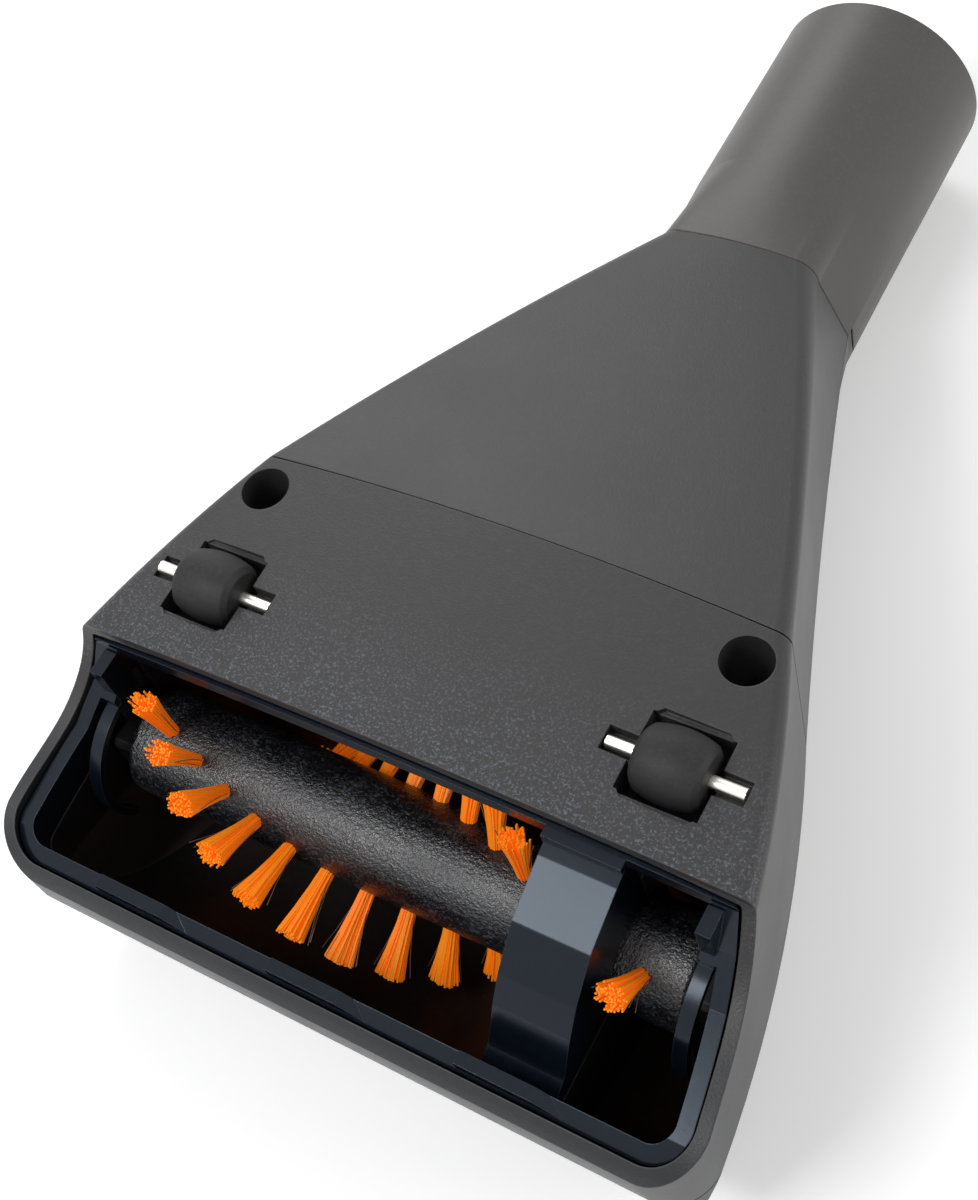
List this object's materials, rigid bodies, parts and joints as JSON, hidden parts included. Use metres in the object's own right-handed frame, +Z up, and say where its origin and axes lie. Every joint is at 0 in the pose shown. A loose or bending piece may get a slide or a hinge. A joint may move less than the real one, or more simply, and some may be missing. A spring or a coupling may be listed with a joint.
{
  "type": "vacuum turbo brush",
  "caption": "Hand-held air-driven brush head for a vacuum cleaner wand: tapered casing, open mouth with a helical bristle roll, belt guard and small sole wheels.",
  "frame": {"origin": "under the middle of the object's bounding box, on the plane that the top cover rests on", "axes": "+Z up out of the sole, which faces up; +Y from the mouth towards the wand tube; +X across, to the belt's side"},
  "size_m": [0.13, 0.2246, 0.0644],
  "materials": {
    "casing": "fine textured dark grey moulding",
    "frame": "polished dark blue-grey moulding",
    "chamber": "black moulding",
    "tube": "smooth dark grey moulding",
    "roll": "black roller",
    "bristle": "orange nylon bristles",
    "steel": "bright drawn pin",
    "screw": "dark plated",
    "belt": "black flat belt",
    "turbine": "grey moulding",
    "bronze": "sintered bronze",
    "wheel_rubber": "black soft roller"
  },
  "bodies": {
    "casing": {"top_cover": "casing", "rear_underside": "casing", "sole_plate": "casing", "mouth_frame": "frame", "brush_chamber": "chamber", "neck_tube": "tube", "drive_belt": "belt", "turbine_cradle": "chamber", "bearing_block_left": "chamber", "bearing_block_right": "chamber", "brush_bush_left": "bronze", "brush_bush_right": "bronze", "turbine_bush_left": "bronze", "turbine_bush_right": "bronze", "sole_screw_left": "screw", "sole_screw_right": "screw", "wheel_axle_left": "steel", "wheel_axle_right": "steel"},
    "roll": {"brush_core": "roll", "tuft_row_a": "bristle", "tuft_row_b": "bristle", "brush_shaft": "steel"},
    "turbine": {"turbine_wheel": "turbine", "turbine_shaft": "steel", "belt_pinion": "turbine"},
    "left_wheel": {"wheel_left": "wheel_rubber"},
    "right_wheel": {"wheel_right": "wheel_rubber"}
  },
  "joints": [
    {"name": "roll_spin", "type": "hinge", "parent": "casing", "child": "roll", "pos_m": [0, -0.07985, 0.0304], "axis": [1, 0, 0], "continuous": true},
    {"name": "turbine_spin", "type": "hinge", "parent": "casing", "child": "turbine", "pos_m": [0, -0.02125, 0.0274], "axis": [1, 0, 0], "continuous": true},
    {"name": "left_wheel_spin", "type": "hinge", "parent": "casing", "child": "left_wheel", "pos_m": [-0.0418, -0.06095, 0.0584], "axis": [1, 0, 0], "continuous": true},
    {"name": "right_wheel_spin", "type": "hinge", "parent": "casing", "child": "right_wheel", "pos_m": [0.0418, -0.06095, 0.0584], "axis": [1, 0, 0], "continuous": true}
  ],
  "couplings": [
    {"joint": "turbine_spin", "follows": "roll_spin", "ratio": 2}
  ]
}
